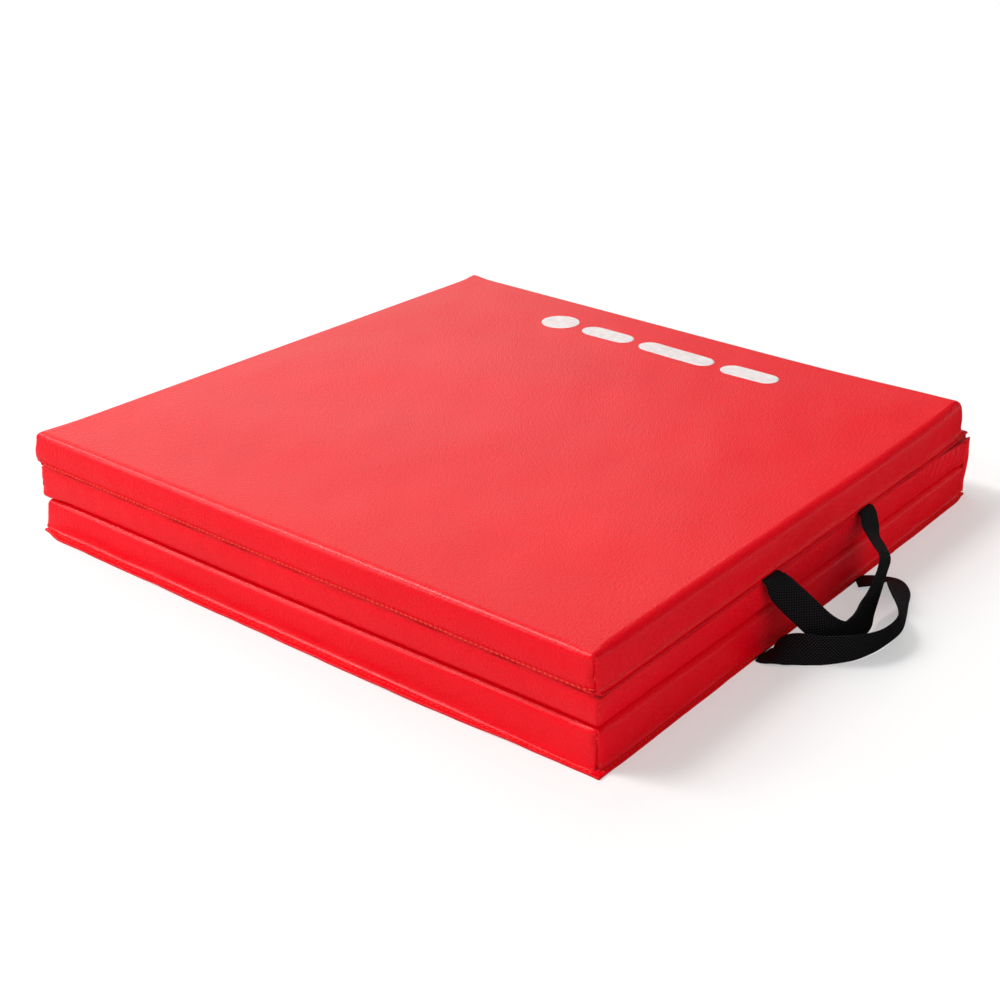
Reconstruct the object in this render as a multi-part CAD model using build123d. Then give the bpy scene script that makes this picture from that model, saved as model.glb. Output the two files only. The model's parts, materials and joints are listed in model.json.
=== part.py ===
from build123d import *
import os

# Folding gym mat: three foam panels in vinyl covers, folded in a Z into a square stack.
# Millimetres. +Z up, floor at z = 0, origin under the middle of the stack.
# X runs across the folds (both fold lines lie along Y); the carrying handles are on the -Y side.

# ---- driving dimensions --------------------------------------------------------------
SIDE = 600.0                # length and width of one panel
PANEL_T = 30.0              # thickness of one covered panel
PANEL_GAP = 0.5             # air between two stacked panels
VINYL_T = 0.8               # vinyl sheet, face covers and base sheets alike
EDGE_R = 7.0                # rounded edge round each panel's face
CORNER_R = 4.0              # upright corners of a panel
FOAM_FIT = 0.15             # play between foam and vinyl
STACK_SHIFT = 3.0           # the top panel lies this far towards +Y, the other two towards -Y

THREAD_R = 0.35             # sewing thread, laid as one run per seam
WELT_ROW = 0.6              # where on the welt its seam runs, as a share of the welt's width
ROW_MIN_WELT = 3.0          # a narrower welt hides its seam
FOLD_WALL_T = 1.0           # loose vinyl wall across the lower fold
LOWER_FOLD_OUT = 3.0        # lower fold line, outside the +X walls
UPPER_FOLD_OUT = 1.6        # upper fold line, outside the -X walls
FOLD_STRIP_H = 12.0         # half of the strip sewn inside the upper fold
FOLD_STRIP_T = 0.6
END_FLANGE_W = 3.0          # upright seam at each end of the lower fold wall
END_FLANGE_OUT = 1.4

WEBBING_W = 25.0            # carrying handles: 25 mm woven webbing
WEBBING_T = 1.6
TAB_DEPTH = 14.0            # webbing end sewn into the seam
TAB_T = 0.7                 # the webbing end is pressed flat in the seam
BARTACK_H = 1.0             # dense stitching that holds each webbing end
BARTACK_T = 0.25

MARK_T = 0.15               # printed mark on the top face
MARK_FROM_EDGE = 68.0       # middle of the print, in from the +X edge
MARK_DOT_R = 20.0
MARK_BARS = [60.0, 86.0, 62.0]      # lengths of the bars after the dot
MARK_BAR_W = 26.0
MARK_SPACE = 11.0
MARK_START_Y = 147.0        # where the print starts, towards +Y

# Width of the sewn welt outside each wall, as (-X, +X, -Y, +Y). The fold sides have next to none.
WELTS = {
    "bottom": (7.0, 2.2, 7.0, 7.0),
    "middle": (0.0, 2.2, 1.0, 5.0),
    "top": (0.0, 6.0, 4.2, 5.0),
}

# ---- values worked out from them -----------------------------------------------------
HALF = SIDE / 2
LEVEL = {
    "bottom": 0.0,
    "middle": PANEL_T + PANEL_GAP,
    "top": 2 * (PANEL_T + PANEL_GAP),
}
SHIFT_Y = {"bottom": -STACK_SHIFT, "middle": -STACK_SHIFT, "top": STACK_SHIFT}
FACE_UP = {"bottom": True, "middle": False, "top": True}
LOWER_SEAM_Z = VINYL_T + TAB_T / 2
UPPER_SEAM_Z = LEVEL["top"] + VINYL_T + TAB_T / 2
LOWER_ROOT_Y = SHIFT_Y["bottom"] - HALF - WELTS["bottom"][2] - 1.2
UPPER_ROOT_Y = SHIFT_Y["top"] - HALF - WELTS["top"][2] - 1.2

# ---- carrying handles ----------------------------------------------------------------
# Each handle is a route of stations: the middle of the webbing, and the direction of its
# width there. The webbing leaves the seam flat, turns on edge along the loop and comes back.
UPPER_ROUTE = [
    ((-72, UPPER_ROOT_Y, UPPER_SEAM_Z), (25, 0, 0)),
    ((-72, -305.4, 61.9), (25, 0, 0)),
    ((-72, -308.8, 59.4), (24.5, -2, 3)),
    ((-70, -315, 52), (21, -8, 10)),
    ((-63, -329, 38), (17, -11, 14)),
    ((-55, -344, 23.5), (16, -11, 12)),
    ((-45, -353.5, 15.5), (13, -6, 19)),
    ((-31, -356.5, 14), (2, 2, 25)),
    ((-15, -356, 13.5), (-6, 6, 23)),
    ((1, -353.5, 14), (-10, 8, 21)),
    ((14, -350.5, 17.5), (-12, 4, 22)),
    ((27, -348, 24), (-12, 2, 22)),
    ((39, -345.5, 31), (-12, 1, 22)),
    ((50.5, -341.5, 37), (-13, 3, 21)),
    ((60, -335, 42), (-16, 10, 16)),
    ((68, -326, 45.5), (-18, 10, 14)),
    ((75, -317, 49), (-20, 7, 13)),
    ((81.5, -312, 54.5), (-22.5, 5, 8)),
    ((84.3, -308.6, 59.4), (-24.5, 1.5, 3)),
    ((85, -305.4, 61.9), (-25, 0, 0)),
    ((85, UPPER_ROOT_Y, UPPER_SEAM_Z), (-25, 0, 0)),
]
LOWER_ROUTE = [
    ((-86, LOWER_ROOT_Y, LOWER_SEAM_Z), (25, 0, 0)),
    ((-86, -317, 3), (23, 2, 4)),
    ((-83, -325, 8), (18, 7, 13)),
    ((-78, -335, 11.3), (9, 12, 18)),
    ((-70.5, -351.5, 12.6), (-4, 9, 23)),
    ((-52, -369, 13), (-7, 2, 23.5)),
    ((-33, -378, 13), (-7, -4, 24)),
    ((-14, -381, 13), (-6, -5, 24)),
    ((3, -380, 12.9), (-8, -3, 24)),
    ((19, -375, 12.7), (-10, 3, 23)),
    ((36, -366, 12), (-11, 9, 20)),
    ((57, -355, 9.5), (-13, 13, 16)),
    ((75, -346, 7), (-17, 13, 11)),
    ((84, -336, 5.2), (-24, 3, 7)),
    ((81, -326, 3.8), (-23, -5, 4)),
    ((75, -318, 2.6), (-24, -4, 1)),
    ((70, LOWER_ROOT_Y, LOWER_SEAM_Z), (-25, 0, 0)),
]


def block(x0, x1, y0, y1, z0, z1):
    """A box from its lowest to its highest corner."""
    box = Box(x1 - x0, y1 - y0, z1 - z0)
    return Pos((x0 + x1) / 2, (y0 + y1) / 2, (z0 + z1) / 2) * box


def rounded_block(half, height, edge_r, corner_r):
    """A panel shape standing on z = 0 with rounded upright corners and a rounded face edge."""
    shape = block(-half, half, -half, half, 0, height)
    shape = fillet(shape.edges().filter_by(Axis.Z), corner_r)
    return fillet(shape.faces().sort_by(Axis.Z)[-1].edges(), edge_r)


def rod(start, end, radius):
    """A straight thread from one point to another."""
    along = Vector(*end) - Vector(*start)
    return Plane(origin=start, z_dir=along) * Cylinder(
        radius, along.length, align=(Align.CENTER, Align.CENTER, Align.MIN)
    )


def place(name, shape):
    """Puts a face-up panel piece at its level, turned over where the panel lies face down."""
    if not FACE_UP[name]:
        # A half turn about Y keeps -Y at -Y and swaps the two fold sides.
        shape = Pos(0, 0, PANEL_T) * Rot(0, 180, 0) * shape
    return Pos(0, SHIFT_Y[name], LEVEL[name]) * shape


def welts_of(name):
    """Welt widths of a panel as it lies face up, before it is placed."""
    left, right, front, rear = WELTS[name]
    return (left, right, front, rear) if FACE_UP[name] else (right, left, front, rear)


def welt_plate(name, z0, z1):
    """The full outline of a panel with its welts, as a flat plate."""
    left, right, front, rear = welts_of(name)
    return block(-HALF - left, HALF + right, -HALF - front, HALF + rear, z0, z1)


def webbing_slot(name, xs):
    """Room in a seam for the flat webbing ends, open towards -Y."""
    front = HALF + welts_of(name)[2]
    slots = []
    for x in xs:
        slots.append(
            block(x - WEBBING_W / 2, x + WEBBING_W / 2, -front - 1, -front + TAB_DEPTH,
                  VINYL_T, VINYL_T + TAB_T)
        )
    return slots


HANDLE_XS = {
    "top": (UPPER_ROUTE[0][0][0], UPPER_ROUTE[-1][0][0]),
    "bottom": (LOWER_ROUTE[0][0][0], LOWER_ROUTE[-1][0][0]),
    "middle": (),
}


# ---- one panel -----------------------------------------------------------------------
def foam_core(name):
    """Closed-cell foam slab that fills the cover."""
    inner = HALF - VINYL_T - FOAM_FIT
    height = PANEL_T - 2 * VINYL_T - 2 * FOAM_FIT - TAB_T
    shape = rounded_block(inner, height, EDGE_R - VINYL_T, CORNER_R - VINYL_T)
    return place(name, Pos(0, 0, VINYL_T + TAB_T + FOAM_FIT) * shape)


def face_cover(name):
    """Face and four walls in one piece of vinyl, with the welt turned out at its foot."""
    outside = Pos(0, 0, VINYL_T) * rounded_block(HALF, PANEL_T - VINYL_T, EDGE_R, CORNER_R)
    inside = Pos(0, 0, VINYL_T) * rounded_block(
        HALF - VINYL_T, PANEL_T - 2 * VINYL_T, EDGE_R - VINYL_T, CORNER_R - VINYL_T
    )
    lip = welt_plate(name, VINYL_T, 2 * VINYL_T)
    shape = (outside + lip) - inside
    for slot in webbing_slot(name, HANDLE_XS[name]):
        shape -= slot
    return place(name, shape)


def base_sheet(name):
    """Flat vinyl under the foam, sewn to the face cover along the welt."""
    return place(name, welt_plate(name, 0, VINYL_T))


def welt_stitching(name):
    """One run of thread along each sewn side, on top of the welt."""
    left, right, front, rear = welts_of(name)
    z = 2 * VINYL_T + THREAD_R
    runs = []
    for sign, width in ((-1, left), (1, right)):
        if width > ROW_MIN_WELT:
            x = sign * (HALF + width * WELT_ROW)
            runs.append(rod((x, -HALF, z), (x, HALF, z), THREAD_R))
    for sign, width in ((-1, front), (1, rear)):
        if width > ROW_MIN_WELT:
            y = sign * (HALF + width * WELT_ROW)
            runs.append(rod((-HALF, y, z), (HALF, y, z), THREAD_R))
    return place(name, Compound(children=runs))


def corner_stitching(name):
    """The upright seam at each of the four corners, a thread laid in the pinched corner."""
    out = HALF - CORNER_R * (1 - 0.5 ** 0.5) + THREAD_R
    runs = []
    for sx in (-1, 1):
        for sy in (-1, 1):
            foot = (sx * out, sy * out, 2 * VINYL_T + 1)
            head = (sx * out, sy * out, PANEL_T - EDGE_R)
            runs.append(rod(foot, head, THREAD_R))
    return place(name, Compound(children=runs))


# ---- lower fold, on the +X side ------------------------------------------------------
def lower_fold_wall(name):
    """Half of the loose vinyl wall that joins the bottom and the middle panel."""
    low = LEVEL[name] + (2 * VINYL_T if FACE_UP[name] else 0.1)
    high = LEVEL[name] + PANEL_T - (0.1 if FACE_UP[name] else 2 * VINYL_T)
    y0 = SHIFT_Y[name] - HALF + CORNER_R
    y1 = SHIFT_Y[name] + HALF - CORNER_R
    return block(HALF, HALF + FOLD_WALL_T, y0, y1, low, high)


def lower_fold_end_flanges(name):
    """Upright seams that close the two ends of the fold wall, standing out towards +X."""
    low = LEVEL[name] + (2 * VINYL_T if FACE_UP[name] else 0.1)
    high = LEVEL[name] + PANEL_T - (0.1 if FACE_UP[name] else 2 * VINYL_T)
    x0 = HALF + FOLD_WALL_T
    flanges = []
    for sign in (-1, 1):
        edge = SHIFT_Y[name] + sign * (HALF - CORNER_R)
        y0, y1 = sorted((edge, edge - sign * END_FLANGE_W))
        flanges.append(block(x0, x0 + END_FLANGE_OUT, y0, y1, low, high))
    return Compound(children=flanges)


# ---- upper fold, on the -X side ------------------------------------------------------
def upper_fold_strip(name):
    """Half of the vinyl strip sewn across the upper fold."""
    if name == "top":
        low, high = LEVEL["top"] + 0.1, LEVEL["top"] + FOLD_STRIP_H
    else:
        low, high = LEVEL["top"] - PANEL_GAP - FOLD_STRIP_H, LEVEL["top"] - PANEL_GAP - 0.1
    y0 = SHIFT_Y[name] - HALF + CORNER_R
    y1 = SHIFT_Y[name] + HALF - CORNER_R
    return block(-HALF - FOLD_STRIP_T, -HALF, y0, y1, low, high)


def upper_fold_stitching():
    """The seam along the upper fold, seen as one row low on the top panel's -X wall."""
    x = -HALF - FOLD_STRIP_T - THREAD_R
    z = LEVEL["top"] + 2.0
    ends = [SHIFT_Y["top"] + sign * (HALF - CORNER_R) for sign in (-1, 1)]
    return rod((x, ends[0], z), (x, ends[1], z), THREAD_R)


# ---- handles -------------------------------------------------------------------------
def webbing_loop(route):
    """Flat webbing along a route, as one faceted solid with a rectangular section."""
    points = [Vector(*centre) for centre, _ in route]
    rings = []
    for i, (centre, width_dir) in enumerate(route):
        before = points[max(i - 1, 0)]
        after = points[min(i + 1, len(points) - 1)]
        along = (after - before).normalized()
        if i in (0, len(route) - 1):
            # The ends leave and enter the seam straight across it.
            along = Vector(0, -1, 0) if i == 0 else Vector(0, 1, 0)
        width = Vector(*width_dir)
        width = (width - along * width.dot(along)).normalized() * (WEBBING_W / 2)
        thick = along.cross(width).normalized() * (WEBBING_T / 2)
        middle = points[i]
        rings.append(
            [middle + width + thick, middle - width + thick,
             middle - width - thick, middle + width - thick]
        )
    faces = [Face(Wire.make_polygon(rings[0][::-1])), Face(Wire.make_polygon(rings[-1]))]
    for ring, following in zip(rings, rings[1:]):
        for k in range(4):
            a, b = ring[k], ring[(k + 1) % 4]
            c, d = following[(k + 1) % 4], following[k]
            faces.append(Face(Wire.make_polygon([a, b, c])))
            faces.append(Face(Wire.make_polygon([a, c, d])))
    return Solid(Shell(faces))


def handle_tabs(name):
    """The two webbing ends, flat in the seam between the base sheet and the cover."""
    front = HALF + welts_of(name)[2]
    tabs = []
    for x in HANDLE_XS[name]:
        tabs.append(
            block(x - WEBBING_W / 2, x + WEBBING_W / 2, -front, -front + TAB_DEPTH,
                  VINYL_T, VINYL_T + TAB_T)
        )
    return place(name, Compound(children=tabs))


def handle_bartacks(name):
    """Two dense rows of stitching on the welt over each webbing end."""
    lip_top = 2 * VINYL_T
    front = HALF + welts_of(name)[2]
    tacks = []
    for x in HANDLE_XS[name]:
        tacks.append(
            block(x - WEBBING_W / 2 + 2, x + WEBBING_W / 2 - 2, -front + 0.2,
                  -front + 0.2 + BARTACK_H, lip_top, lip_top + BARTACK_T)
        )
    return place(name, Compound(children=tacks))


# ---- printed mark --------------------------------------------------------------------
def printed_mark():
    """A plain dot and three plain rounded bars, printed along the top face's +X edge."""
    x = HALF - MARK_FROM_EDGE
    top = LEVEL["top"] + PANEL_T
    y = MARK_START_Y
    shapes = [Pos(x, y - MARK_DOT_R, 0) * Circle(MARK_DOT_R)]
    y -= 2 * MARK_DOT_R + MARK_SPACE
    for length in MARK_BARS:
        bar = RectangleRounded(MARK_BAR_W, length, MARK_BAR_W / 2 - 0.5)
        shapes.append(Pos(x, y - length / 2, 0) * bar)
        y -= length + MARK_SPACE
    prints = [extrude(Pos(0, 0, top) * shape, MARK_T) for shape in shapes]
    return Compound(children=[solid for piece in prints for solid in piece.solids()])


# ---- all nodes -----------------------------------------------------------------------
nodes = {}
for panel in ("bottom", "middle", "top"):
    nodes[f"{panel}_foam_core"] = foam_core(panel)
    nodes[f"{panel}_face_cover"] = face_cover(panel)
    nodes[f"{panel}_base_sheet"] = base_sheet(panel)
    nodes[f"{panel}_welt_stitching"] = welt_stitching(panel)
    nodes[f"{panel}_corner_stitching"] = corner_stitching(panel)

for panel in ("bottom", "middle"):
    nodes[f"lower_fold_wall_{panel}"] = lower_fold_wall(panel)
    nodes[f"lower_fold_end_flanges_{panel}"] = lower_fold_end_flanges(panel)

for panel in ("middle", "top"):
    nodes[f"upper_fold_strip_{panel}"] = upper_fold_strip(panel)
nodes["upper_fold_stitching"] = upper_fold_stitching()

nodes["upper_handle_strap"] = webbing_loop(UPPER_ROUTE)
nodes["lower_handle_strap"] = webbing_loop(LOWER_ROUTE)
nodes["upper_handle_tabs"] = handle_tabs("top")
nodes["lower_handle_tabs"] = handle_tabs("bottom")
nodes["upper_handle_bartacks"] = handle_bartacks("top")
nodes["lower_handle_bartacks"] = handle_bartacks("bottom")
nodes["printed_mark"] = printed_mark()

os.makedirs("parts", exist_ok=True)
for node_name, node_shape in nodes.items():
    export_step(node_shape, f"parts/{node_name}.step")

print("lower fold line: x", HALF + LOWER_FOLD_OUT, "z", PANEL_T + PANEL_GAP / 2)
print("upper fold line: x", -HALF - UPPER_FOLD_OUT, "z", LEVEL["top"] - PANEL_GAP / 2)
print("upper handle root: y", UPPER_ROOT_Y, "z", UPPER_SEAM_Z)
print("lower handle root: y", LOWER_ROOT_Y, "z", LOWER_SEAM_Z)
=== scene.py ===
import json
import math

import bpy
import numpy as np
from mathutils import Matrix, Vector


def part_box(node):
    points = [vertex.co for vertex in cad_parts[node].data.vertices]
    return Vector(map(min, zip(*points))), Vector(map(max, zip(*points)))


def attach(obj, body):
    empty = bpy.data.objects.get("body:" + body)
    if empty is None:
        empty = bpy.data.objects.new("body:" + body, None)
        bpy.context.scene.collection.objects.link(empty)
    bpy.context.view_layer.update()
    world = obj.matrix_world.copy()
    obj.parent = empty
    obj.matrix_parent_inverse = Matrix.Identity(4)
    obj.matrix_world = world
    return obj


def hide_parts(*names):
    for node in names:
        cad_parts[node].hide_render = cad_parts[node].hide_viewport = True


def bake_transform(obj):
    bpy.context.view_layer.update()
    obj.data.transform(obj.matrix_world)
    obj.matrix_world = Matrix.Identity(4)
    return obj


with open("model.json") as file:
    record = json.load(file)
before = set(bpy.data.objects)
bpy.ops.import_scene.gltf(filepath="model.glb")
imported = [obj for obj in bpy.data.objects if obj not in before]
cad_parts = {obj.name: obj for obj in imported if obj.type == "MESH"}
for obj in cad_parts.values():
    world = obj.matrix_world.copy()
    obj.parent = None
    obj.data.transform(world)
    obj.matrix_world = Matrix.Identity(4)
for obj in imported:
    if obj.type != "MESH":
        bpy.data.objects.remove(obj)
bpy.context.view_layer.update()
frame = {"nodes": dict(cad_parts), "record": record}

# Folding gym mat, visual model. Metres, in the row frame of the CAD part: +Z up, floor at z = 0,
# fold lines along Y, carrying handles on the -Y side.

# ---- driving dimensions ----
FOAM_INSET = 0.00095        # CAD foam to outer face of the vinyl
FOAM_BACK = 0.0030          # how far the foam here stays inside its wrinkled cover
EDGE_R = 0.0078             # rounded edge round each panel's face
FACE_CORNER_R = 0.0012      # corner of the flat of the face
WALL_CORNER_R = 0.0032      # upright corners
VINYL = 0.0008
SEAM_TOP = 2 * VINYL        # cover and base sheet together at the welt
STITCH_PITCH = 0.0047
STITCH_LEN = 0.0036
STITCH_R = 0.00052
WEBBING_W = 0.025
WEBBING_T = 0.0015

PANELS = ("bottom", "middle", "top")
FACE_UP = {"bottom": True, "middle": False, "top": True}

# Welt width outside each wall as (-X, +X, -Y, +Y). A negative width is an edge turned under.
WELT = {
    "bottom": (0.0064, 0.0015, 0.0066, 0.0055),
    "middle": (-0.0008, 0.0018, -0.0004, 0.0010),
    "top": (-0.0008, 0.0054, 0.0036, 0.0008),
}
# How far the welt's tip is tucked in, along X and Y, at each corner of the stack:
# (-X -Y), (+X -Y), (+X +Y), (-X +Y).
TUCK = {
    "bottom": ((0.0007, 0.0007), (0.0030, 0.0036), (0.002, 0.002), (0.0, 0.0085)),
    "middle": ((0, 0), (0, 0), (0, 0), (0, 0)),
    "top": ((0.0008, 0.0008), (0.0052, 0.0026), (0.002, 0.002), (0, 0)),
}
# How far each upright corner of a panel stands out beyond the square, in the same order, as
# (at the foot, at the face).
CORNER_PUSH = {
    "bottom": ((0, 0), (0, 0), (0, 0), (0.0046, 0.0014)),
    "middle": ((0, 0), (0, 0), (0, 0), (0.0062, 0.0066)),
    "top": ((0, 0), (-0.0042, -0.0022), (0, 0), (0.0084, 0.0030)),
}
WELT_FLARE = 0.0056         # extra width of the bottom panel's welt along the upper fold's side
LIP_DROP = 0.0006           # the top panel's welt rests on the panel under it, on the handle side
PANEL_HALF = 0.30           # half a panel's side
PANEL_T = 0.030             # thickness of a panel
TWO_PANELS_Z = 0.0610       # top of the two lower panels
MIDDLE_TOP_Z = 0.0607       # the middle panel lies wholly under this height
TOP_FOOT_Z = 0.0640         # foot of the top panel's wall
TOP_WALL = 0.027            # and its height
# Settling of the stack, as height and reach.
FRONT_LIFT, FRONT_REACH = 0.0036, 0.15      # boundary of the two lower panels rises at (-X, -Y)
LEFT_DROP, LEFT_REACH = 0.0008, 0.10        # and falls at (-X, +Y)
MIDDLE_SAG, SAG_REACH = 0.0042, 0.035       # the middle panel hangs off the top one at (+X, -Y)
TOP_RISE, RISE_REACH = 0.0034, 0.075        # and the top panel's face stands up there
TOP_SLIDE = 0.003           # the top panel's foot has slid towards -Y
TOP_STRETCH = 0.0020        # its +X side has moved out
TOP_SKEW = 0.0060           # by this much more at its +Y end, and less at its -Y end
WALL_PUFF = 0.0009          # the foam presses each wall out
CORNER_PULL = 0.0009        # the corner seams pull each wall in
LIP_FLARE = 0.0019          # flare of the top panel's wall to its lip
WRINKLE = 0.00090           # height and spacing of the wrinkles near the lower fold
WRINKLE_PITCH = 0.0125
HANDLE_ROOTS_X = (-0.072, 0.085)
STITCHED_WELT = {"bottom": 0.003, "middle": 0.0009, "top": 0.003}   # narrower welts show no thread
FOLD_STITCH_R = 0.00068
FOLD_STITCH_OUT = 0.0011    # how far the upper fold's stitches stand off the wall
CORNERS = ((-1, -1), (1, -1), (1, 1), (-1, 1))


# ---- small helpers ----
def waves(x, y, length, seed):
    """Smooth bumps about 1 high and about `length` across, the same on every run."""
    count = 7
    rng = np.random.RandomState(seed)
    total = np.zeros(np.broadcast(x, y).shape)
    for _ in range(count):
        angle = rng.uniform(0, math.tau)
        k = math.tau / (length * rng.uniform(0.7, 1.6))
        total += np.sin(k * (x * math.cos(angle) + y * math.sin(angle)) + rng.uniform(0, math.tau))
    return total / math.sqrt(count / 2) / 1.4


def bell(d, width):
    """1 at d = 0, falling smoothly to almost 0 over about three widths."""
    return np.exp(-0.5 * (d / width) ** 2)


def smooth(t):
    """0 up to t = 0, 1 from t = 1 on, an S curve between them."""
    t = np.clip(t, 0.0, 1.0)
    return t * t * (3 - 2 * t)


def new_object(name, verts, faces, material, uv=None):
    """A smooth-shaded mesh with one material."""
    mesh = bpy.data.meshes.new(name)
    mesh.from_pydata([tuple(v) for v in verts], [], [tuple(f) for f in faces])
    mesh.update()
    if uv is not None:
        layer = mesh.uv_layers.new(name="UVMap")
        loops = np.empty(len(mesh.loops), np.int32)
        mesh.loops.foreach_get("vertex_index", loops)
        layer.data.foreach_set("uv", np.asarray(uv, np.float32)[loops].ravel())
    mesh.polygons.foreach_set("use_smooth", [True] * len(mesh.polygons))
    mesh.materials.append(material)
    obj = bpy.data.objects.new(name, mesh)
    bpy.context.scene.collection.objects.link(obj)
    return obj


def quads(index):
    """The faces of a grid of vertex numbers."""
    corners = index[:-1, :-1], index[1:, :-1], index[1:, 1:], index[:-1, 1:]
    return np.stack(corners, -1).reshape(-1, 4)


def tube_faces(start, sections, size):
    """The faces of a tube of rings with `size` vertices each, closed at both ends."""
    faces = []
    last = start + (sections - 1) * size
    for first in range(start, last, size):
        for k in range(size):
            a, b = first + k, first + (k + 1) % size
            faces.append((a, b, b + size, a + size))
    return faces + [tuple(range(start, start + size))[::-1], tuple(range(last, last + size))]


def stitch_places(line, margin):
    """Points and tangents, a stitch pitch apart, along a polyline up to a margin from its ends."""
    step = np.linalg.norm(np.diff(line, axis=0), axis=1)
    dist = np.concatenate([[0], np.cumsum(step)])
    stop = dist[-1] - margin
    count = int((stop - margin) / STITCH_PITCH)
    at = margin + (np.arange(count) + 0.5) * (stop - margin) / count

    def points_at(where):
        return np.stack([np.interp(where, dist, line[:, k]) for k in range(3)], 1)

    tangent = points_at(at + 0.001) - points_at(at - 0.001)
    return points_at(at), tangent / np.linalg.norm(tangent, axis=1)[:, None]


# ---- panel skin ----
CORNER_STEPS = 5
CAP_RINGS = 12


def side_stations(half, fine=0.0022, coarse=0.0052, fine_length=0.085):
    """Places along one straight side, closer together near its two corners."""
    inner = half - 0.005        # the corner's own points fill the rest
    near = np.arange(0, fine_length, fine)
    middle_count = int(round((2 * inner - 2 * near[-1]) / coarse))
    middle = np.linspace(-inner + near[-1], inner - near[-1], middle_count + 1)[1:-1]
    return np.concatenate([-inner + near, middle, (inner - near)[::-1]]) / inner


def ring(low, high, r, z, along):
    """A rectangle at height z with corner radius r, from (-X, -Y) on; its points match other rings'."""
    (x0, y0), (x1, y1) = low, high
    turn = np.radians(45 * (1 - np.arange(CORNER_STEPS) / CORNER_STEPS))
    points = []
    corners = [(x0, y0), (x1, y0), (x1, y1), (x0, y1)]
    for k in range(4):
        a = np.array(corners[k])
        b = np.array(corners[(k + 1) % 4])
        length = np.linalg.norm(b - a)
        t = (b - a) / length
        out = np.array([t[1], -t[0]])
        centre_a = a + t * r - out * r
        centre_b = b - t * r - out * r
        for w in turn:
            points.append(centre_a - t * r * math.sin(w) + out * r * math.cos(w))
        for s in along:
            share = (s + 1) / 2
            points.append(centre_a * (1 - share) + centre_b * share + out * r)
        for w in turn[:0:-1]:
            points.append(centre_b + t * r * math.sin(w) + out * r * math.cos(w))
    points = np.array(points)
    return np.column_stack([points, np.full(len(points), z)])


def fill_grid(loop, n):
    """Points inside a loop of 4 * n points, joined from its four sides (Coons patch)."""
    bottom = loop[0:n + 1]
    right = loop[n:2 * n + 1]
    top = loop[2 * n:3 * n + 1][::-1]
    left = np.vstack([loop[3 * n:4 * n], loop[0:1]])[::-1]
    u = (bottom[:, 0] - bottom[0, 0]) / (bottom[-1, 0] - bottom[0, 0])
    v = (left[:, 1] - left[0, 1]) / (left[-1, 1] - left[0, 1])
    uu, vv = (k[..., None] for k in np.meshgrid(u, v, indexing="ij"))
    grid = (1 - vv) * bottom[:, None] + vv * top[:, None]
    grid = grid + (1 - uu) * left[None, :] + uu * right[None, :]
    grid = grid - (1 - uu) * (1 - vv) * bottom[0] - uu * (1 - vv) * bottom[-1]
    grid = grid - (1 - uu) * vv * top[0] - uu * vv * top[-1]
    return grid


def add_band(verts, faces, loop, points):
    """Adds a ring of points and joins it to the loop before it; returns its own loop."""
    size = len(points)
    following = list(range(len(verts), len(verts) + size))
    verts.extend(points)
    for k in range(size):
        n = (k + 1) % size
        faces.append((loop[k], following[k], following[n], loop[n]))
    return following


def skin(rings, count):
    """Vertices and faces of a closed skin: a grid in the first ring, bands down to the last, a cap."""
    verts = list(fill_grid(rings[0], count).reshape(-1, 3))
    index = np.arange(len(verts)).reshape(count + 1, count + 1)
    faces = list(quads(index))
    loop = [*index[:-1, 0], *index[-1, :-1], *index[:0:-1, -1], *index[0, :0:-1]]
    for points in rings[1:]:
        loop = add_band(verts, faces, loop, points)
    # Shrinking rings, so that the hidden cap can follow the panel's own bends.
    middle = np.mean([verts[k] for k in loop], axis=0)
    outline = np.array([verts[k] for k in loop])
    for step in range(1, CAP_RINGS):
        loop = add_band(verts, faces, loop, middle + (outline - middle) * (1 - step / CAP_RINGS))
    centre = len(verts)
    verts.append(middle)
    for k in range(len(loop)):
        faces.append((loop[k], centre, loop[(k + 1) % len(loop)]))
    return np.array(verts), faces


def panel_frame(name):
    """Middle, half size, base height and face height of a panel, from its CAD foam and base sheet."""
    low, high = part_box(f"{name}_foam_core")
    base_low, base_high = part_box(f"{name}_base_sheet")
    half = (high.x - low.x) / 2 + FOAM_INSET
    centre = ((high.x + low.x) / 2, (high.y + low.y) / 2)
    if FACE_UP[name]:
        base, face = base_low.z, high.z + FOAM_INSET
    else:
        base, face = base_high.z, low.z - FOAM_INSET
    return centre, half, base, face


def welts(name):
    """Welt widths of a panel as it lies face up, before it is turned over."""
    left, right, front, rear = WELT[name]
    return (left, right, front, rear) if FACE_UP[name] else (right, left, front, rear)


def side_welts(name):
    """The same widths in the order of a ring's sides: -Y, +X, +Y, -X."""
    return np.array(welts(name))[[2, 1, 3, 0]]


def extents(name, half, grow, share):
    """Low and high corners of an outline: the walls, grown, plus a share of each welt's width."""
    left, right, front, rear = welts(name)
    low = (-half - grow - left * share, -half - grow - front * share)
    high = (half + grow + right * share, half + grow + rear * share)
    return low, high


def to_row(name, points):
    """From a panel lying face up at the origin to its place in the folded stack."""
    centre, _, base, _ = panel_frame(name)
    p = np.array(points, float)
    if not FACE_UP[name]:
        p[..., 0] = -p[..., 0]
        p[..., 2] = -p[..., 2]
    p[..., 0] += centre[0]
    p[..., 1] += centre[1]
    p[..., 2] += base
    return p


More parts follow.
